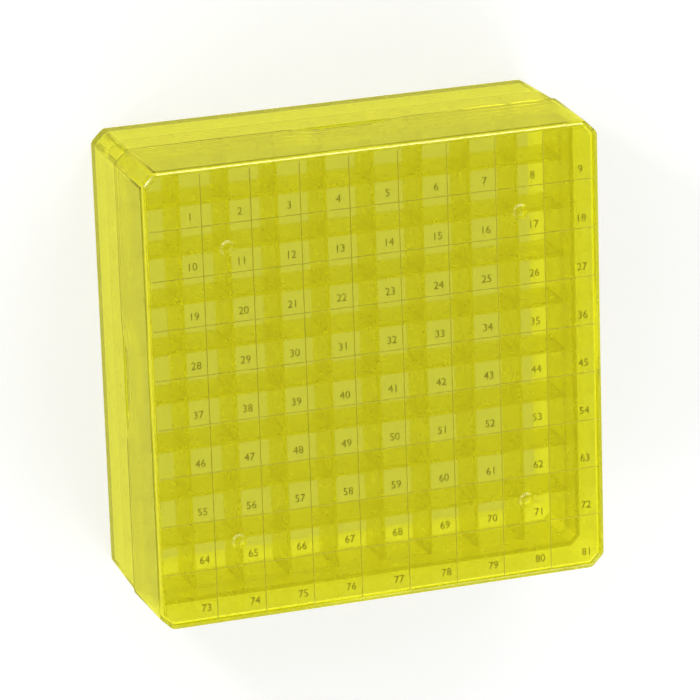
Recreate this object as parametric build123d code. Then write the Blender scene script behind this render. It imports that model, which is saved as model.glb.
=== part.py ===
"""Cryogenic storage box: a square base tray, a divider insert for 9 x 9 vials and a lift-off lid.

The box stands on its base at z = 0, centred on the Z axis, with X and Y along its sides.
The insert is a collar that drops into the tray, stands proud of its rim and carries an
egg-crate of half-lapped dividers. The lid slides down over the proud part of the collar.
All sizes are in millimetres.
"""
from build123d import *
import os

# ---- Overall sizes ---------------------------------------------------------------------------
BOX_WIDTH = 133.0            # outside width of the lid at its rim, the widest place
BOX_HEIGHT = 52.0            # closed height
SHOULDER_HEIGHT = 26.5       # where the lid's rim meets the tray's rim
CORNER_LEG = 4.0             # leg of the flat on each upright corner, at the lid's rim

# ---- Tray ------------------------------------------------------------------------------------
RIM_STEP = 0.4               # how far the lid's rim stands out past the tray's
TRAY_DRAFT = 0.5             # how much narrower each side is at the floor than at the rim
TRAY_WALL = 1.6              # wall at the rim
FLOOR_THICKNESS = 2.0
BOTTOM_RADIUS = 2.5          # rounding where the walls meet the underside
LEDGE_WIDTH = 1.3            # ledge inside the tray that carries the insert
LEDGE_HEIGHT = 14.5

# ---- Divider insert --------------------------------------------------------------------------
COLLAR_CLEARANCE = 0.1       # between the collar and the tray's wall, on each side
COLLAR_WALL = 1.3
COLLAR_PROUD = 9.0           # how far the collar stands above the tray's rim
CELLS = 9                    # vial cells along each side
DIVIDER_HEIGHT = 14.5
DIVIDER_THICKNESS = 1.1
SEAT_DEPTH = 0.7             # depth of the groove in the collar that holds a divider's end
SEAT_CLEARANCE = 0.1         # around a divider's end in its groove
LAP_CLEARANCE = 0.05         # on each side of a divider in a crossing divider's slot

# ---- Lid -------------------------------------------------------------------------------------
LID_CLEARANCE = 0.25         # between the collar and the inside of the lid, on each side
LID_DRAFT = 0.5              # how much narrower each side is at the top than at the rim
LID_TOP_THICKNESS = 1.8
LID_EDGE_RADIUS = 1.6        # rounding of the top edge
NOTCH_LENGTH = 34.0          # finger notch in the middle of each side of the rim
NOTCH_DEPTH = 3.0
NOTCH_SLOPE = 3.5            # how far each end of the notch leans in towards its top
LINE_WIDTH = 0.4             # shallow lines on top that mark out the cells
LINE_DEPTH = 0.25

# ---- Moulding marks --------------------------------------------------------------------------
MARK_DIAMETER = 4.5          # round marks over the second cell from each corner
MARK_DEPTH = 0.3
MARK_CELLS_IN = 3            # cell pitches from the centre to a mark, along X and along Y

# ---- Worked out from the sizes above ---------------------------------------------------------
TRAY_HALF = BOX_WIDTH / 2 - RIM_STEP
TRAY_INNER_HALF = TRAY_HALF - TRAY_WALL
LEDGE_HALF = TRAY_INNER_HALF - LEDGE_WIDTH
COLLAR_HALF = TRAY_INNER_HALF - COLLAR_CLEARANCE
COLLAR_INNER_HALF = COLLAR_HALF - COLLAR_WALL
COLLAR_TOP = SHOULDER_HEIGHT + COLLAR_PROUD
PITCH = (2 * COLLAR_INNER_HALF + DIVIDER_THICKNESS) / CELLS
DIVIDER_PLACES = [(i - CELLS / 2) * PITCH for i in range(1, CELLS)]
DIVIDER_LENGTH = 2 * (COLLAR_INNER_HALF + SEAT_DEPTH - SEAT_CLEARANCE)
DIVIDER_TOP = LEDGE_HEIGHT + DIVIDER_HEIGHT
LID_INNER_HALF = COLLAR_HALF + LID_CLEARANCE
LID_INNER_TOP = BOX_HEIGHT - LID_TOP_THICKNESS
LINE_SPAN = CELLS * PITCH - DIVIDER_THICKNESS
OVERCUT = 1.0                # how far a cutting solid runs past the face that it opens


def corner_leg(half_width):
    """Leg of the corner flat on an outline that is offset evenly from the lid's rim."""
    inset = BOX_WIDTH / 2 - half_width
    return CORNER_LEG - inset * (2 - 2 ** 0.5)


def outline(half_width, z):
    """Square face with a flat across each corner, at height z."""
    leg = corner_leg(half_width)
    face = chamfer(Rectangle(2 * half_width, 2 * half_width).vertices(), leg)
    return Plane.XY.offset(z) * face


def prism(half_width, low, high):
    """Upright solid with the box's outline."""
    return extrude(outline(half_width, low), amount=high - low)


def drafted(low_half, low, high_half, high):
    """Solid with the box's outline whose sides lean evenly from one width to another."""
    return loft([outline(low_half, low), outline(high_half, high)], ruled=True)


def round_marks(z):
    """Four discs over the marked cells, cut MARK_DEPTH to each side of height z."""
    place = MARK_CELLS_IN * PITCH
    disc = Cylinder(MARK_DIAMETER / 2, 2 * MARK_DEPTH)
    return [Pos(x, y, z) * disc for x in (-place, place) for y in (-place, place)]


def make_base_tray():
    shell = drafted(TRAY_HALF - TRAY_DRAFT, 0, TRAY_HALF, SHOULDER_HEIGHT)
    shell = fillet(shell.faces().sort_by(Axis.Z)[0].edges(), BOTTOM_RADIUS)
    shell -= prism(LEDGE_HALF, FLOOR_THICKNESS, LEDGE_HEIGHT + OVERCUT)
    shell -= prism(TRAY_INNER_HALF, LEDGE_HEIGHT, SHOULDER_HEIGHT + OVERCUT)
    for mark in round_marks(0):
        shell -= mark
    return shell


def make_divider_collar():
    """Octagonal band with a groove for each divider's end, open at the bottom."""
    collar = prism(COLLAR_HALF, LEDGE_HEIGHT, COLLAR_TOP)
    collar -= prism(COLLAR_INNER_HALF, LEDGE_HEIGHT - OVERCUT, COLLAR_TOP + OVERCUT)
    groove_length = 2 * (COLLAR_INNER_HALF + SEAT_DEPTH)
    groove_width = DIVIDER_THICKNESS + 2 * SEAT_CLEARANCE
    groove_height = DIVIDER_HEIGHT + SEAT_CLEARANCE + OVERCUT
    middle = LEDGE_HEIGHT - OVERCUT + groove_height / 2
    for place in DIVIDER_PLACES:
        collar -= Pos(0, place, middle) * Box(groove_length, groove_width, groove_height)
        collar -= Pos(place, 0, middle) * Box(groove_width, groove_length, groove_height)
    return collar


def make_divider(slots_face_up):
    """Strip along X with a half-height slot at each crossing, standing on the ledge at Y = 0."""
    strip = Pos(0, 0, LEDGE_HEIGHT + DIVIDER_HEIGHT / 2)
    strip *= Box(DIVIDER_LENGTH, DIVIDER_THICKNESS, DIVIDER_HEIGHT)
    slot_width = DIVIDER_THICKNESS + 2 * LAP_CLEARANCE
    slot_height = DIVIDER_HEIGHT / 2 + OVERCUT
    slot_box = Box(slot_width, DIVIDER_THICKNESS + 2 * OVERCUT, slot_height)
    if slots_face_up:
        middle = DIVIDER_TOP + OVERCUT - slot_height / 2
    else:
        middle = LEDGE_HEIGHT - OVERCUT + slot_height / 2
    for place in DIVIDER_PLACES:
        strip -= Pos(place, 0, middle) * slot_box
    return strip


def finger_notch():
    """Cutter with sloped ends for the notch in the lid's +X side."""
    low = SHOULDER_HEIGHT
    high = SHOULDER_HEIGHT + NOTCH_DEPTH
    foot = NOTCH_LENGTH / 2
    head = foot - NOTCH_SLOPE
    lean = NOTCH_SLOPE / NOTCH_DEPTH * OVERCUT
    base = low - OVERCUT
    outline_points = [(-foot - lean, base), (foot + lean, base), (head, high), (-head, high)]
    depth = BOX_WIDTH / 2 - LID_INNER_HALF + 2 * OVERCUT
    side = make_face(Plane.YZ.offset(LID_INNER_HALF - OVERCUT) * Polyline(*outline_points, close=True))
    return extrude(side, amount=depth)


def make_lid():
    shell = drafted(BOX_WIDTH / 2, SHOULDER_HEIGHT, BOX_WIDTH / 2 - LID_DRAFT, BOX_HEIGHT)
    shell = fillet(shell.faces().sort_by(Axis.Z)[-1].edges(), LID_EDGE_RADIUS)
    shell -= prism(LID_INNER_HALF, SHOULDER_HEIGHT - OVERCUT, LID_INNER_TOP)
    notch = finger_notch()
    for quarter in range(4):
        shell -= Rot(0, 0, 90 * quarter) * notch
    for place in DIVIDER_PLACES:
        shell -= Pos(0, place, BOX_HEIGHT) * Box(LINE_SPAN, LINE_WIDTH, 2 * LINE_DEPTH)
        shell -= Pos(place, 0, BOX_HEIGHT) * Box(LINE_WIDTH, LINE_SPAN, 2 * LINE_DEPTH)
    for mark in round_marks(BOX_HEIGHT):
        shell -= mark
    return shell


def main():
    parts = {
        "base_tray": make_base_tray(),
        "divider_collar": make_divider_collar(),
        "lid": make_lid(),
    }
    row_divider = make_divider(slots_face_up=True)
    column_divider = Rot(0, 0, 90) * make_divider(slots_face_up=False)
    for number, place in enumerate(DIVIDER_PLACES, start=1):
        parts[f"row_divider_{number}"] = Pos(0, -place, 0) * row_divider
        parts[f"column_divider_{number}"] = Pos(place, 0, 0) * column_divider
    os.makedirs("parts", exist_ok=True)
    for name, shape in parts.items():
        export_step(shape, f"parts/{name}.step")
    print(f"{len(parts)} nodes, cell pitch {PITCH:.3f} mm, clear cell {PITCH - DIVIDER_THICKNESS:.3f} mm")


main()
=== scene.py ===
# %% [markdown]
# # A cryogenic storage box in clear yellow plastic
#
# A freezer box for 81 small vials has three things to model: a shallow tray, an insert that divides
# it into 9 x 9 cells, and a deep lid that lifts straight off. All of it is clear plastic, so every
# wall is seen through every other wall. That decides how the meshes are made: each piece is a closed
# shell with a real thickness, because light has to enter the plastic, lose its blue and leave again.
#
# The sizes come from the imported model, which is loaded first and stays the frame for everything.

# %% Load the frame
import bpy
import bmesh
import math
from mathutils import Matrix, Vector


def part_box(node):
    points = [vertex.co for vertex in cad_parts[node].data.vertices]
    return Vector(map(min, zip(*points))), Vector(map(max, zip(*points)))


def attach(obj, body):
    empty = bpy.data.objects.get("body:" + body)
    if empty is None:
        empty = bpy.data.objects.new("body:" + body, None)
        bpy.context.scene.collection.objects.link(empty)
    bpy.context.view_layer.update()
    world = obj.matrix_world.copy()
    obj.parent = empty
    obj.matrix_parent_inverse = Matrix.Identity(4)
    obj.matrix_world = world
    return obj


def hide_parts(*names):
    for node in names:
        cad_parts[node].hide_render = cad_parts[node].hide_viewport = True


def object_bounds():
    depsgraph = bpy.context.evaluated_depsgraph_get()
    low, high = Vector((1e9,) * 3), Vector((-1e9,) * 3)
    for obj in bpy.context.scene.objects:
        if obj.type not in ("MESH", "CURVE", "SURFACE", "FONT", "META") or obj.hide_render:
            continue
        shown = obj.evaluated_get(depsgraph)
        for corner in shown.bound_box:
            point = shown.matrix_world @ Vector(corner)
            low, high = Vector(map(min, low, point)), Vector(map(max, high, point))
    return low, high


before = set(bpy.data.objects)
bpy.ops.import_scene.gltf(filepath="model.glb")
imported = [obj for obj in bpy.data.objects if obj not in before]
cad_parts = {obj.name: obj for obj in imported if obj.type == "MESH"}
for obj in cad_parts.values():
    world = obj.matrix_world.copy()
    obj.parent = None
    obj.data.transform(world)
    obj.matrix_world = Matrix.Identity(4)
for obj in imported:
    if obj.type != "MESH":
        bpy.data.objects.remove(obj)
cad_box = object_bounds()

# %% [markdown]
# ## Sizes read from the frame
#
# Nothing is measured twice. The heights, the half widths and the pitch of the cells are read from the
# boxes of the CAD nodes, and only what a box can't say, such as a wall or a rounding, is written here.
# Plastic faces that lie exactly in one plane confuse a ray, so pieces that rest on each other keep a
# hair of air between them.

# %% Sizes
MM = 0.001
HAIR = 0.05 * MM                      # air between two pieces that rest on each other

tray_low, tray_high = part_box("base_tray")
collar_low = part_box("divider_collar")[0]
lid_low, lid_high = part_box("lid")
first_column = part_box("column_divider_1")
second_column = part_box("column_divider_2")

CELLS = 9
pitch = second_column[0].x - first_column[0].x
strip_thickness = first_column[1].x - first_column[0].x
line_places = [(i - CELLS / 2) * pitch for i in range(1, CELLS)]
print(f"cell pitch {pitch / MM:.2f} mm, dividers {strip_thickness / MM:.2f} mm thick")

# %% [markdown]
# ## Small mesh tools
#
# A box like this is all flat faces with a few kinds of edge, so box modelling suits it: start from one
# flat face, extrude it, inset it, and push the inset face back in to make the hollow. These three
# helpers are those steps.

# %% Faces
CLOSE = 0.02 * MM                     # two heights nearer than this are the same height


def flat_cornered_face(bm, half, leg, z):
    """A square face at height z with a flat across each corner."""
    made = bmesh.ops.create_grid(bm, x_segments=1, y_segments=1, size=half)["verts"]
    bmesh.ops.translate(bm, vec=(0, 0, z), verts=made)
    bmesh.ops.bevel(bm, geom=made, offset=leg, segments=1, profile=0.5, affect="VERTICES", material=-1)
    return max(bm.faces, key=lambda f: f.calc_area())


def pull(bm, face, dz, widen=0.0):
    """Extrudes a level face by dz and moves its edges out by widen, and returns the new end face."""
    half = max(v.co.x for v in face.verts)
    closes_a_shell = len(face.edges[0].link_faces) > 1
    made = bmesh.ops.extrude_face_region(bm, geom=[face])["geom"]
    end = next(g for g in made if isinstance(g, bmesh.types.BMFace))
    if closes_a_shell:
        bmesh.ops.delete(bm, geom=[face], context="FACES_ONLY")
    bmesh.ops.translate(bm, vec=(0, 0, dz), verts=end.verts)
    scale = (half + widen) / half
    bmesh.ops.scale(bm, vec=(scale, scale, 1), verts=end.verts)
    return end


def shrink(bm, face, wall):
    """Insets a level face by the wall's thickness; the same face is then the smaller one."""
    bmesh.ops.inset_region(bm, faces=[face], thickness=wall, use_even_offset=True, use_boundary=True)
    return face


# %% [markdown]
# Edges are rounded last, and they are found by where they are, which keeps each step to one readable
# line. The last two numbers of a search are how far from the axis the edges may lie. They are chosen
# wide enough to catch every edge that is meant, and no other.

# %% Edges
def upright_edges(bm, low, high, inside, outside):
    """Edges that stand between two heights, as far from the axis as inside to outside."""
    found = []
    for edge in bm.edges:
        a, b = (v.co for v in edge.verts)
        if abs(a.z - b.z) < CLOSE or min(a.z, b.z) < low - CLOSE or max(a.z, b.z) > high + CLOSE:
            continue
        reach = max(abs(a.x), abs(a.y))
        if inside - CLOSE < reach < outside + CLOSE:
            found.append(edge)
    return found


def level_edges(bm, z, inside, outside):
    """Edges that lie at one height, as far from the axis as inside to outside."""
    found = []
    for edge in bm.edges:
        a, b = (v.co for v in edge.verts)
        if abs(a.z - z) > CLOSE or abs(b.z - z) > CLOSE:
            continue
        reach = max(abs(a.x + b.x), abs(a.y + b.y)) / 2
        if inside < reach < outside and len(edge.link_faces) == 2 and edge.calc_face_angle() > 0.3:
            found.append(edge)
    return found


def soften(bm, edges, width, segments):
    """Rounds a set of edges."""
    bmesh.ops.bevel(bm, geom=edges, offset=width, offset_type="OFFSET", segments=segments, profile=0.5,
                    affect="EDGES", material=-1, clamp_overlap=True)


# %% [markdown]
# Every piece ends in the same way. Its shading is smooth over the roundings and breaks at the creases,
# and around large flat faces, which would look dented otherwise. Then it becomes an object that rides
# on a body of the frame. The count of open edges has to be 0, because light that enters a piece through
# a hole in its skin would never meet the other wall.

# %% Finished pieces
FLAT_AREA = 12 * MM * MM              # a face larger than this is a flat wall, not part of a rounding
CREASE = math.radians(30)


def mark_creases(bm):
    """Smooth shading, broken at sharp edges and where a rounding meets a flat wall."""
    for face in bm.faces:
        face.smooth = True
    for edge in bm.edges:
        if len(edge.link_faces) != 2:
            continue
        angle = edge.calc_face_angle()
        beside_flat = max(f.calc_area() for f in edge.link_faces) > FLAT_AREA and angle > 0.01
        edge.smooth = not (angle > CREASE or beside_flat)


def tint_sides(bm, index):
    """Gives the upright walls that are still in a shell's first material the one at an index."""
    bmesh.ops.recalc_face_normals(bm, faces=bm.faces)
    for face in bm.faces:
        if abs(face.normal.z) < 0.5 and face.material_index == 0:
            face.material_index = index


def add_piece(bm, name, materials, body):
    """Turns a finished bmesh into an object that rides on a body."""
    bmesh.ops.recalc_face_normals(bm, faces=bm.faces)
    mark_creases(bm)
    open_edges = sum(1 for e in bm.edges if len(e.link_faces) != 2)
    mesh = bpy.data.meshes.new(name)
    bm.to_mesh(mesh)
    for material in materials:
        mesh.materials.append(material)
    piece = bpy.data.objects.new(name, mesh)
    bpy.context.scene.collection.objects.link(piece)
    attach(piece, body)
    volume = bm.calc_volume() / MM ** 3
    print(f"{name}: {len(bm.faces)} faces, {open_edges} open edges, volume {volume:.0f} mm3")
    bm.free()
    return piece


# %% [markdown]
# ## Materials
#
# The plastic passes red and green almost freely and soaks up blue, so one wall looks pale and several
# walls in a row look a deep, even yellow. A Principled shader that transmits nearly everything, with an
# absorbing volume behind it, does just that: the colour comes from how many walls the light has passed
# and how far it went inside them. Three small effects are added. A little diffuse scatter stands for the
# haze of moulded plastic. A faint yellow painted glow, an emission from plastic that is no lamp, keeps
# walls that are seen edge on from going dull. A wide, shallow bump gives the reflections the soft
# waviness of a moulded wall.
#
# The lid is the most polished, the tray is duller, and the insert inside is the most frosted, which
# blurs the edges of the cells. The upright walls of the lid and the tray mirror more of the pale room
# than the level ones do, which washes their yellow out, so they are given a deeper tint to make up.

# %% Clear plastic
SHELL_TINT = (0.94, 0.94, 0.40)       # what a level wall of the lid or tray lets through of white light
SHADED_SIDE_TINT = (0.94, 0.93, 0.10)        # what an upright wall of them lets through, deepened as painted shade against the pale room they mirror
INSERT_TINT = (0.98, 0.95, 0.04)      # and what a wall of the insert does
DEEP_TINT = (0.9995, 0.999, 0.25)     # what the inside of the plastic leaves of white light
DYE_DENSITY = 180
# painted glow: the yellow light the plastic emits, though it is no lamp
PAINTED_GLOW = (1.0, 0.97, 0.0)
PLASTIC_IOR = 1.49                    # as polypropylene has
RIPPLE_SCALE = 90                     # of the bump, in waves per metre or so
RIPPLE_STRENGTH = 0.25
RIPPLE_HEIGHT = 0.015 * MM
GLOSS_SCALE = 400                     # of the patches that are a little more or less polished
GLOSS_VARIATION = 0.4


def moulded_plastic(name, tint, haze, painted_glow, roughness):
    """A clear yellow plastic: haze is the share of scattered light, and painted_glow the strength of a
    painted yellow glow.
    """
    material = bpy.data.materials.new(name)
    material.use_nodes = True
    nodes, links = material.node_tree.nodes, material.node_tree.links
    shader = nodes["Principled BSDF"]
    shader.inputs["Base Color"].default_value = (*tint, 1)
    shader.inputs["IOR"].default_value = PLASTIC_IOR
    shader.inputs["Transmission Weight"].default_value = 1 - haze
    # painted glow: a faint yellow emission on the plastic, which is no lamp
    shader.inputs["Emission Color"].default_value = (*PAINTED_GLOW, 1)
    shader.inputs["Emission Strength"].default_value = painted_glow
    place = nodes.new("ShaderNodeTexCoord")
    ripple = nodes.new("ShaderNodeTexNoise")
    ripple.inputs["Scale"].default_value = RIPPLE_SCALE
    ripple.inputs["Detail"].default_value = 2
    bump = nodes.new("ShaderNodeBump")
    bump.inputs["Strength"].default_value = RIPPLE_STRENGTH
    bump.inputs["Distance"].default_value = RIPPLE_HEIGHT
    gloss = nodes.new("ShaderNodeTexNoise")
    gloss.inputs["Scale"].default_value = GLOSS_SCALE
    gloss.inputs["Detail"].default_value = 4
    spread = nodes.new("ShaderNodeMapRange")
    spread.inputs["To Min"].default_value = roughness * (1 - GLOSS_VARIATION)
    spread.inputs["To Max"].default_value = roughness * (1 + GLOSS_VARIATION)
    links.new(place.outputs["Object"], ripple.inputs["Vector"])
    links.new(place.outputs["Object"], gloss.inputs["Vector"])
    links.new(ripple.outputs["Fac"], bump.inputs["Height"])
    links.new(bump.outputs["Normal"], shader.inputs["Normal"])
    links.new(gloss.outputs["Fac"], spread.inputs["Value"])
    links.new(spread.outputs["Result"], shader.inputs["Roughness"])
    volume = nodes.new("ShaderNodeVolumeAbsorption")
    volume.inputs["Color"].default_value = (*DEEP_TINT, 1)
    volume.inputs["Density"].default_value = DYE_DENSITY
    links.new(volume.outputs["Volume"], nodes["Material Output"].inputs["Volume"])
    print(f"{name}: lets {tint[2]:.0%} of the blue through each wall, roughness {roughness}")
    return material


# each plastic carries a painted glow, strongest on the insert
lid_plastic = moulded_plastic("lid_plastic", SHELL_TINT, haze=0.01, painted_glow=0.012, roughness=0.08)
tray_plastic = moulded_plastic("tray_plastic", SHELL_TINT, haze=0.02, painted_glow=0.015, roughness=0.2)
# painted shade: the upright walls get a deeper yellow to offset the pale room they mirror
shaded_side_plastic = moulded_plastic("shaded_side_plastic", SHADED_SIDE_TINT, haze=0.01, painted_glow=0.014, roughness=0.12)
insert_plastic = moulded_plastic("insert_plastic", INSERT_TINT, haze=0.03, painted_glow=0.045, roughness=0.3)

# %% [markdown]
# The lines between the cells and the numbers are moulded with a frosted face. Frosted plastic scatters
# light, so they look like thin olive strokes against the bright wall. A fine grain keeps the frosting
# from looking like paint.

# %% Frosted marks
OLIVE = (0.50, 0.48, 0.05)
FROST_SCALE = 3000
FROST_VARIATION = 0.15
FROST_ROUGHNESS = 0.5


def frosted_mark(name, colour, transmission):
    """A rough, half clear finish whose colour varies a little from grain to grain."""
    material = bpy.data.materials.new(name)
    material.use_nodes = True
    nodes, links = material.node_tree.nodes, material.node_tree.links
    shader = nodes["Principled BSDF"]
    shader.inputs["IOR"].default_value = PLASTIC_IOR
    place = nodes.new("ShaderNodeTexCoord")
    grain = nodes.new("ShaderNodeTexNoise")
    grain.inputs["Scale"].default_value = FROST_SCALE
    tone = nodes.new("ShaderNodeMixRGB")
    tone.inputs["Color1"].default_value = (*[c * (1 - FROST_VARIATION) for c in colour], 1)
    tone.inputs["Color2"].default_value = (*[c * (1 + FROST_VARIATION) for c in colour], 1)
    links.new(place.outputs["Object"], grain.inputs["Vector"])
    links.new(grain.outputs["Fac"], tone.inputs["Fac"])
    links.new(tone.outputs["Color"], shader.inputs["Base Color"])
    shader.inputs["Roughness"].default_value = FROST_ROUGHNESS
    shader.inputs["Transmission Weight"].default_value = transmission
    return material


mark_frosting = frosted_mark("mark_frosting", OLIVE, transmission=0.85)
print("frosted marks in", OLIVE)

# %% [markdown]
# ## The lid
#
# The real lid is one moulding: a flat top, four slightly leaning walls and a flat across each upright
# corner. The top face is drawn first and pulled down to the rim, the rim is inset by the wall, and the
# face inside it is pushed back up to leave the hollow. Insetting keeps the wall even round the corner
# flats, which a plain scale wouldn't. The roundings come last, when all the edges are there.

# %% Lid shell
LID_WALL = 1.85 * MM
LID_TOP = 1.8 * MM
LID_TOP_EDGE = 1.6 * MM
LID_INNER_EDGE = 0.8 * MM
CORNER_LEG = 4.0 * MM
LID_DRAFT = 0.5 * MM
CORNER_SOFTNESS = 0.8 * MM
RIM_SOFTNESS = 0.3 * MM
ROUND_STEPS = 6

lid_half = lid_high.x
lid_rim = lid_low.z + HAIR
lid_bm = bmesh.new()
top_face = flat_cornered_face(lid_bm, lid_half - LID_DRAFT, CORNER_LEG - 0.3 * MM, lid_high.z)
rim_face = pull(lid_bm, top_face, lid_rim - lid_high.z, LID_DRAFT)
ceiling = shrink(lid_bm, rim_face, LID_WALL)
ceiling = pull(lid_bm, ceiling, lid_high.z - LID_TOP - lid_rim)
soften(lid_bm, upright_edges(lid_bm, lid_rim, lid_high.z, lid_half - 1 * MM, lid_half), CORNER_SOFTNESS, 3)
soften(lid_bm, upright_edges(lid_bm, lid_rim, lid_high.z, 0, lid_half - 1.2 * MM), CORNER_SOFTNESS / 2, 2)
soften(lid_bm, level_edges(lid_bm, lid_high.z, lid_half - 5 * MM, lid_half), LID_TOP_EDGE, ROUND_STEPS)
soften(lid_bm, level_edges(lid_bm, lid_high.z - LID_TOP, lid_half - 6 * MM, lid_half), LID_INNER_EDGE, 3)
print("lid shell", len(lid_bm.faces), "faces")

# %% [markdown]
# ### Finger notches
#
# In the middle of each side the rim is lifted by 3 mm to let a fingertip under it. A boolean cut would
# leave sharp ends, and the real ones are rounded, so the walls are cut across where the notch bends and
# the rim's own vertices are raised along a smooth ramp. A steep ramp mirrors the dark sky overhead as a
# black fleck, so these ramps are drawn longer than the real ones.

# %% Finger notches
NOTCH_HALF = 17 * MM
NOTCH_RAMP = 9 * MM
NOTCH_DEPTH = 3 * MM
RAMP_STEPS = 8


def cut_across(bm, faces, axis, place):
    """Cuts a set of faces by the plane at one place on X (0) or Y (1)."""
    normal = Vector((0, 0, 0))
    normal[axis] = 1
    faces = [f for f in faces if f.is_valid]
    edges = dict.fromkeys(e for f in faces for e in f.edges)
    verts = dict.fromkeys(v for f in faces for v in f.verts)
    geom = [*faces, *edges, *verts]
    bmesh.ops.bisect_plane(bm, geom=geom, plane_co=normal * place, plane_no=normal, dist=CLOSE / 10)


def notch_lift(distance):
    """How far the rim is raised at a distance from the middle of a side."""
    part = min(max((NOTCH_HALF - abs(distance)) / NOTCH_RAMP, 0), 1)
    return NOTCH_DEPTH * part * part * (3 - 2 * part)


ramp_places = [NOTCH_HALF - NOTCH_RAMP * step / RAMP_STEPS for step in range(RAMP_STEPS + 1)]
for axis in (0, 1):
    for place in ramp_places:
        for side in (-1, 1):
            low_faces = [f for f in lid_bm.faces if min(v.co.z for v in f.verts) < lid_rim + CLOSE]
            cut_across(lid_bm, low_faces, axis, side * place)
for vert in lid_bm.verts:
    if abs(vert.co.z - lid_rim) < CLOSE:
        along = min(abs(vert.co.x), abs(vert.co.y))
        vert.co.z += notch_lift(along)
rim_edges = []
for edge in lid_bm.edges:
    if len(edge.link_faces) == 2 and max(v.co.z for v in edge.verts) < lid_rim + NOTCH_DEPTH + CLOSE:
        along_rim = edge.calc_face_angle() > 1.0
        if along_rim:
            rim_edges.append(edge)
soften(lid_bm, rim_edges, RIM_SOFTNESS, 2)
print("rim edges rounded:", len(rim_edges))

# %% [markdown]
# ### Cell lines
#
# Lines on the lid show where each cell is. Each is three close cuts across the flat top, with the middle
# one pressed down into a shallow V, and the faces of the V get the frosted material. Cutting keeps the
# lid one closed mesh, which laying strips on it wouldn't.

# %% Cell lines
LINE_WIDTH = 0.28 * MM
LINE_DEPTH = 0.2 * MM
line_span = (CELLS * pitch - strip_thickness) / 2


def flat_faces(bm, z, up):
    """The level faces at one height that look up (1) or down (-1)."""
    bm.normal_update()
    return [f for f in bm.faces
            if abs(f.calc_center_median().z - z) < CLOSE / 2 and f.normal.z * up > 0.99]


bmesh.ops.recalc_face_normals(lid_bm, faces=lid_bm.faces)
for axis in (0, 1):
    for place in (-line_span, line_span):
        cut_across(lid_bm, flat_faces(lid_bm, lid_high.z, 1), axis, place)
    for place in line_places:
        for aside in (-LINE_WIDTH / 2, 0, LINE_WIDTH / 2):
            cut_across(lid_bm, flat_faces(lid_bm, lid_high.z, 1), axis, place + aside)
pressed = set()
for vert in lid_bm.verts:
    if abs(vert.co.z - lid_high.z) > CLOSE or max(abs(vert.co.x), abs(vert.co.y)) > line_span + CLOSE:
        continue
    on_line = [min(abs(vert.co[axis] - place) for place in line_places) < CLOSE / 4 for axis in (0, 1)]
    if any(on_line):
        pressed.add(vert)
for vert in pressed:
    vert.co.z -= LINE_DEPTH
lid_bm.normal_update()
for face in lid_bm.faces:
    if any(v in pressed for v in face.verts):
        face.material_index = 1
print("vertices pressed into lines:", len(pressed))

# %% [markdown]
# ### Round marks
#
# Four shallow round recesses are left by the moulding. The lines have already cut the top into cells, so
# a mark starts as the square of one cell: the square is inset, its edges are divided, its vertices are
# moved onto a circle, and the disc is pressed in over three rings that make a soft edge.

# %% Round marks
MARK_RADIUS = 2.25 * MM
MARK_DEPTH = 0.3 * MM
MARK_CELLS_IN = 3
MARK_EDGE_CUTS = 9
MARK_RINGS = 3
MARK_RING_WIDTH = 0.3 * MM
mark_place = MARK_CELLS_IN * pitch


def press_round_mark(bm, face, centre, into):
    """Turns the middle of a square face into a shallow round recess; into is the way it is pressed."""
    half = max(abs(v.co.x - centre.x) for v in face.verts)
    shrink(bm, face, half - MARK_RADIUS)
    bmesh.ops.subdivide_edges(bm, edges=list(face.edges), cuts=MARK_EDGE_CUTS)
    for vert in face.verts:
        away = Vector((vert.co.x - centre.x, vert.co.y - centre.y, 0)).normalized() * MARK_RADIUS
        vert.co.x, vert.co.y = centre.x + away.x, centre.y + away.y
    for ring in range(1, MARK_RINGS + 1):
        shrink(bm, face, MARK_RING_WIDTH)
        drop = MARK_DEPTH * (1 - math.cos(ring * math.pi / MARK_RINGS)) / 2
        dropped = MARK_DEPTH * (1 - math.cos((ring - 1) * math.pi / MARK_RINGS)) / 2
        bmesh.ops.translate(bm, vec=(0, 0, into * (drop - dropped)), verts=face.verts)


def face_at(bm, z, up, x, y):
    """The level face whose middle is nearest a point."""
    return min(flat_faces(bm, z, up), key=lambda f: (f.calc_center_bounds() - Vector((x, y, z))).length)


mark_spots = [(x * mark_place, y * mark_place) for x in (-1, 1) for y in (-1, 1)]
for x, y in mark_spots:
    press_round_mark(lid_bm, face_at(lid_bm, lid_high.z, 1, x, y), Vector((x, y, 0)), -1)
tint_sides(lid_bm, 2)
lid = add_piece(lid_bm, "lid_shell", [lid_plastic, mark_frosting, shaded_side_plastic], "lid")
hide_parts("lid")

# %% [markdown]
# ### Cell numbers
#
# The numbers 1 to 81 run row by row from the far left cell. Each stands small in the lower right corner
# of its cell, on the underside of the top, where nothing can rub it off. Blender's own text makes the
# digits: it is extruded, turned into a mesh and only then moved to its cell.

# %% Cell numbers
DIGIT_SIZE = 3.1 * MM
DIGIT_RELIEF = 0.12 * MM
DIGIT_THINNING = 0.03 * MM            # taken off each side of a stroke
NUMBER_RIGHT = 0.30                   # from the cell's middle to the number's, in cell pitches
NUMBER_DOWN = 0.32

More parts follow.
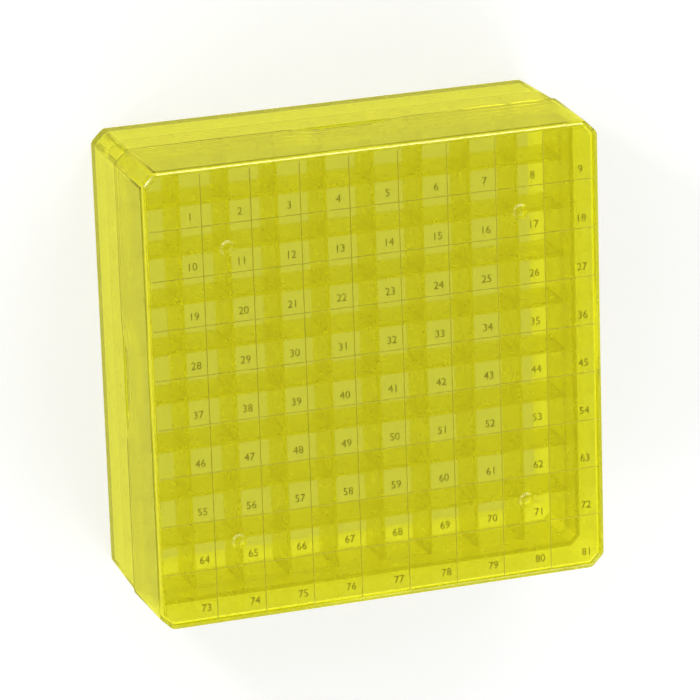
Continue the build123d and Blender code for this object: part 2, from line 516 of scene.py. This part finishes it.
numbers_bm = bmesh.new()
number_z = lid_high.z - LID_TOP - DIGIT_RELIEF / 2
for cell in range(CELLS * CELLS):
    row, column = divmod(cell, CELLS)
    curve = bpy.data.curves.new("number", "FONT")
    curve.body = str(cell + 1)
    curve.size = DIGIT_SIZE
    curve.extrude = DIGIT_RELIEF
    curve.offset = -DIGIT_THINNING
    curve.resolution_u = 3
    curve.align_x = "CENTER"
    curve.align_y = "CENTER"
    holder = bpy.data.objects.new("number", curve)
    shape = bpy.data.meshes.new_from_object(holder)
    x = (column - CELLS // 2 + NUMBER_RIGHT) * pitch
    y = (CELLS // 2 - row - NUMBER_DOWN) * pitch
    shape.transform(Matrix.Translation((x, y, number_z)))
    numbers_bm.from_mesh(shape)
    bpy.data.objects.remove(holder)
    bpy.data.curves.remove(curve)
    bpy.data.meshes.remove(shape)
bmesh.ops.remove_doubles(numbers_bm, verts=numbers_bm.verts, dist=0.001 * MM)
add_piece(numbers_bm, "cell_numbers", [mark_frosting], "lid")

# %% [markdown]
# ## The tray
#
# The tray is modelled like the lid, but the right way up: base face, walls, rim, and then down inside in
# two steps, because a ledge half way down carries the insert. Its bottom edge has a generous rounding,
# as a moulding that has to leave its tool does.

# %% Tray shell
TRAY_DRAFT = 0.5 * MM
TRAY_WALL = 1.6 * MM
LEDGE = 1.3 * MM
TRAY_FLOOR = 2.0 * MM
TRAY_BOTTOM_EDGE = 2.5 * MM
TRAY_FLOOR_EDGE = 1.2 * MM

tray_half = tray_high.x
tray_rim = tray_high.z - HAIR
ledge_z = collar_low.z - HAIR
tray_bm = bmesh.new()
under = flat_cornered_face(tray_bm, tray_half - TRAY_DRAFT, CORNER_LEG - 0.5 * MM, tray_low.z)
rim = pull(tray_bm, under, tray_rim - tray_low.z, TRAY_DRAFT)
rim = shrink(tray_bm, rim, TRAY_WALL)
rim = pull(tray_bm, rim, ledge_z - tray_rim)
rim = shrink(tray_bm, rim, LEDGE)
rim = pull(tray_bm, rim, tray_low.z + TRAY_FLOOR - ledge_z)
outer_corners = upright_edges(tray_bm, tray_low.z, tray_rim, tray_half - 0.8 * MM, tray_half)
soften(tray_bm, outer_corners, CORNER_SOFTNESS, 3)
inner_corners = upright_edges(tray_bm, tray_low.z, tray_rim, 0, tray_half - 1 * MM)
soften(tray_bm, inner_corners, CORNER_SOFTNESS / 2, 2)
bottom_edges = level_edges(tray_bm, tray_low.z, tray_half - 6 * MM, tray_half)
soften(tray_bm, bottom_edges, TRAY_BOTTOM_EDGE, ROUND_STEPS)
floor_edges = level_edges(tray_bm, tray_low.z + TRAY_FLOOR, tray_half - 8 * MM, tray_half)
soften(tray_bm, floor_edges, TRAY_FLOOR_EDGE, 3)
soften(tray_bm, level_edges(tray_bm, tray_rim, tray_half - 4 * MM, tray_half + 1 * MM), RIM_SOFTNESS, 2)
print("tray shell", len(tray_bm.faces), "faces")

# %% [markdown]
# The tray's underside carries the same four round marks as the lid. The flat underside is first cut
# round each of them into a square of one cell, and then pressed in as before.

# %% Tray marks
bmesh.ops.recalc_face_normals(tray_bm, faces=tray_bm.faces)
for axis in (0, 1):
    for side in (-1, 1):
        for aside in (-pitch / 2, pitch / 2):
            cut_across(tray_bm, flat_faces(tray_bm, tray_low.z, -1), axis, side * mark_place + aside)
for x, y in mark_spots:
    press_round_mark(tray_bm, face_at(tray_bm, tray_low.z, -1, x, y), Vector((x, y, 0)), 1)
tint_sides(tray_bm, 1)
tray = add_piece(tray_bm, "tray_shell", [tray_plastic, shaded_side_plastic], "tray")
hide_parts("base_tray")

# %% [markdown]
# ## The insert
#
# The collar and the sixteen dividers have plain shapes that the CAD model already holds exactly, with
# the half-height slots where the dividers cross and the grooves that take their ends. Only their dead
# sharp rims are wrong: on a moulded part each rim is a little round and carries a thin line of light.
# So each CAD mesh is copied, its loose triangles are merged and its flat parts joined up again, and the
# long rims are rounded. The slots stay sharp, or every crossing would glint like a crack. Where two
# dividers cross, the bottom of one slot rests on the other, so one set is lifted by a hair.

# %% Insert
RIM_ROUNDING = 0.2 * MM
RIM_STEPS = 2
SHORT_EDGE = 2 * MM                   # the mouth of a slot is shorter than this and stays sharp
MERGE_DISTANCE = 0.002 * MM
FLAT_ANGLE = math.radians(1)          # faces that meet at less than this are one flat face


def rounded_copy(node, name, lift):
    """A piece made from a CAD node's mesh, merged, with its long level rims rounded."""
    bm = bmesh.new()
    bm.from_mesh(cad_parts[node].data)
    bmesh.ops.remove_doubles(bm, verts=bm.verts, dist=MERGE_DISTANCE)
    bmesh.ops.dissolve_limit(bm, angle_limit=FLAT_ANGLE, verts=bm.verts, edges=bm.edges)
    low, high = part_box(node)
    rims = [e for z in (low.z, high.z) for e in level_edges(bm, z, -1, 1) if e.calc_length() > SHORT_EDGE]
    soften(bm, rims, RIM_ROUNDING, RIM_STEPS)
    bmesh.ops.translate(bm, vec=(0, 0, lift), verts=bm.verts)
    piece = add_piece(bm, name, [insert_plastic], "tray")
    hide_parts(node)


rounded_copy("divider_collar", "collar_band", 0)
for number in range(1, CELLS):
    rounded_copy(f"row_divider_{number}", f"row_strip_{number}", 0)
    rounded_copy(f"column_divider_{number}", f"column_strip_{number}", HAIR)

# %% [markdown]
# ## Floor
#
# Clear plastic shows what lies behind it, so the table matters as much as the lamps. It is white, and
# it glows a little like a light table: without that, the box would stand in its own shadow and look
# dull. The polished walls would also mirror the table beside the box and lose their yellow to a white
# veil, so the table is hidden from reflections, and they show the yellow lower half of the sky instead.

# %% Floor
FLOOR_HALF = 1.5
FLOOR_DROP = 0.2 * MM
TABLE_GLOW = 0.5
TABLE_GREYS = (0.74, 0.76)
TABLE_GRAIN = 30
TABLE_ROUGHNESS = 0.9


def table_paint():
    """A matt white that glows and varies very slightly."""
    material = bpy.data.materials.new("table_paint")
    material.use_nodes = True
    nodes, links = material.node_tree.nodes, material.node_tree.links
    shader = nodes["Principled BSDF"]
    place = nodes.new("ShaderNodeTexCoord")
    grain = nodes.new("ShaderNodeTexNoise")
    grain.inputs["Scale"].default_value = TABLE_GRAIN
    tone = nodes.new("ShaderNodeMixRGB")
    for socket, grey in zip(("Color1", "Color2"), TABLE_GREYS):
        tone.inputs[socket].default_value = (grey, grey, grey, 1)
    links.new(place.outputs["Object"], grain.inputs["Vector"])
    links.new(grain.outputs["Fac"], tone.inputs["Fac"])
    links.new(tone.outputs["Color"], shader.inputs["Base Color"])
    shader.inputs["Roughness"].default_value = TABLE_ROUGHNESS
    shader.inputs["Emission Color"].default_value = (1, 1, 1, 1)
    shader.inputs["Emission Strength"].default_value = TABLE_GLOW
    return material


floor_bm = bmesh.new()
bmesh.ops.create_grid(floor_bm, x_segments=1, y_segments=1, size=FLOOR_HALF)
bmesh.ops.translate(floor_bm, vec=(0, 0, tray_low.z - FLOOR_DROP), verts=floor_bm.verts)
floor_mesh = bpy.data.meshes.new("table")
floor_bm.to_mesh(floor_mesh)
floor_bm.free()
floor_mesh.materials.append(table_paint())
table = bpy.data.objects.new("table", floor_mesh)
bpy.context.scene.collection.objects.link(table)
table.visible_glossy = False
print("table", 2 * FLOOR_HALF, "m wide, just under z", round(tray_low.z / MM, 2), "mm")

# %% [markdown]
# ## Light
#
# A studio sky gives soft light from all round. It is bright at the sides and dark overhead, because the
# lid's flat top mirrors what is above it, and a bright ceiling would lay a white veil over the yellow. A
# smooth fade between the two keeps a hard line out of the reflections. Below the horizon the sky is
# yellow, which is what the polished walls mirror in place of the table.

# %% Sky
SKY_SIDES = 0.9
SKY_OVERHEAD = 0.1
SKY_FADE = (0.55, 0.85)               # the height of a direction, from 0 level to 1 straight up
YELLOW_BELOW = (1.0, 0.98, 0.25)
HORIZON_BLUR = 0.05

scene = bpy.context.scene
world = bpy.data.worlds.new("studio")
scene.world = world
world.use_nodes = True
sky_nodes, sky_links = world.node_tree.nodes, world.node_tree.links
sky = sky_nodes["Background"]
sky_place = sky_nodes.new("ShaderNodeTexCoord")
sky_height = sky_nodes.new("ShaderNodeSeparateXYZ")
sky_fade = sky_nodes.new("ShaderNodeMapRange")
sky_fade.interpolation_type = "SMOOTHSTEP"
sky_fade.inputs["From Min"].default_value = SKY_FADE[0]
sky_fade.inputs["From Max"].default_value = SKY_FADE[1]
sky_fade.inputs["To Min"].default_value = SKY_SIDES
sky_fade.inputs["To Max"].default_value = SKY_OVERHEAD
sky_horizon = sky_nodes.new("ShaderNodeMapRange")
sky_horizon.inputs["From Min"].default_value = -HORIZON_BLUR
sky_horizon.inputs["From Max"].default_value = HORIZON_BLUR
sky_colour = sky_nodes.new("ShaderNodeMixRGB")
sky_colour.inputs["Color1"].default_value = (*YELLOW_BELOW, 1)
sky_colour.inputs["Color2"].default_value = (1, 1, 1, 1)
sky_links.new(sky_place.outputs["Generated"], sky_height.inputs["Vector"])
sky_links.new(sky_height.outputs["Z"], sky_fade.inputs["Value"])
sky_links.new(sky_fade.outputs["Result"], sky.inputs["Strength"])
sky_links.new(sky_height.outputs["Z"], sky_horizon.inputs["Value"])
sky_links.new(sky_horizon.outputs["Result"], sky_colour.inputs["Fac"])
sky_links.new(sky_colour.outputs["Color"], sky.inputs["Color"])
print("sky", SKY_SIDES, "at the sides and", SKY_OVERHEAD, "overhead")

# %% [markdown]
# Four soft lamps add shape. The key lamp stands beyond the box, well away from where the lid's top would
# mirror it to the camera. The other three are long and narrow. Each is placed so that one rounded upper
# edge of the lid mirrors it to the camera: the corner flat that is nearest to it, the rear edge and the
# left edge.

# %% Lamps
def soft_lamp(name, place, width, height, energy):
    """A rectangular soft lamp that faces the box."""
    data = bpy.data.lights.new(name, "AREA")
    data.shape = "RECTANGLE"
    data.size = width
    data.size_y = height
    data.energy = energy
    lamp = bpy.data.objects.new(name, data)
    lamp.location = place
    lamp.rotation_euler = (-lamp.location).to_track_quat("-Z", "Y").to_euler()
    scene.collection.objects.link(lamp)


soft_lamp("key_lamp", (0.35, -0.65, 0.6), width=0.5, height=0.35, energy=1.5)
soft_lamp("corner_lamp", (-0.5, 0.45, 0.4), width=0.1, height=0.3, energy=1.2)
soft_lamp("rear_edge_lamp", (0.25, 0.62, 0.42), width=0.4, height=0.08, energy=0.8)
soft_lamp("left_edge_lamp", (-0.7, -0.24, 0.35), width=0.4, height=0.08, energy=0.8)

# %% [markdown]
# A ray that crosses the box from corner to corner passes sixteen dividers, the collar twice and the lid
# twice: twenty walls, each with two surfaces. A ray that runs out of bounces comes back black, so clear
# plastic needs far more of them than other scenes do. Very bright indirect samples are clamped, because
# lamps that are seen through rough plastic would leave sparks.

# %% Light paths
scene.view_settings.view_transform = "Standard"
scene.cycles.max_bounces = 64
scene.cycles.transmission_bounces = 64
scene.cycles.diffuse_bounces = 6
scene.cycles.glossy_bounces = 8
scene.cycles.transparent_max_bounces = 16
scene.cycles.sample_clamp_indirect = 2.0
print("light may pass", scene.cycles.transmission_bounces, "surfaces")

# %% [markdown]
# ## Camera
#
# The camera looks down on the lid from beyond its left rear corner, with a long lens that keeps the
# opposite edges nearly parallel. It is turned so that the rear edge of the box is at the top.

# %% Camera
CAMERA_TURN = math.radians(133.6)     # from +X towards +Y
CAMERA_RISE = math.radians(64.8)
CAMERA_DISTANCE = 1.37
PICTURE_UP = Vector((0.033, 1, 0))    # the direction that points to the top of the picture
LENS = 250
SENSOR = 36

centre = (cad_box[0] + cad_box[1]) / 2
out = Vector((math.cos(CAMERA_TURN) * math.cos(CAMERA_RISE),
              math.sin(CAMERA_TURN) * math.cos(CAMERA_RISE),
              math.sin(CAMERA_RISE)))
up = (PICTURE_UP - out * PICTURE_UP.dot(out)).normalized()
right = up.cross(out)
camera_data = bpy.data.cameras.new("camera")
camera_data.lens = LENS
camera_data.sensor_width = SENSOR
camera = bpy.data.objects.new("camera", camera_data)
turned = Matrix((right, up, out)).transposed().to_4x4()
camera.matrix_world = Matrix.Translation(centre + out * CAMERA_DISTANCE) @ turned
scene.collection.objects.link(camera)
scene.camera = camera
print("camera at", camera.matrix_world.translation)
